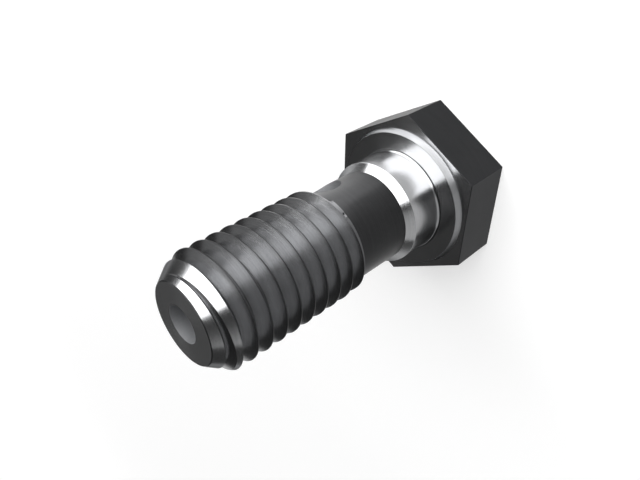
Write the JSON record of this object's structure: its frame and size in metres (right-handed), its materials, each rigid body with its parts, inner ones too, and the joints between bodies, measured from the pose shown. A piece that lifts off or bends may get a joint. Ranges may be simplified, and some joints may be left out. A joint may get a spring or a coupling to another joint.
{
  "type": "banjo bolt",
  "caption": "Hexagon-head hollow bolt with a washer face, a plain seat, a drilled neck and a right-hand threaded end with a conical tip.",
  "frame": {"origin": "middle of the flat top of the hexagon head, on which the bolt stands", "axes": "+Z along the bolt's axis from the head to the threaded tip; +X along the cross hole and square to two flats of the hexagon"},
  "size_m": [0.021, 0.0242, 0.0426],
  "materials": {
    "steel": "dark oiled steel with a soft sheen and fine turning marks"
  },
  "bodies": {
    "root": {"banjo_bolt": "steel"}
  },
  "joints": []
}
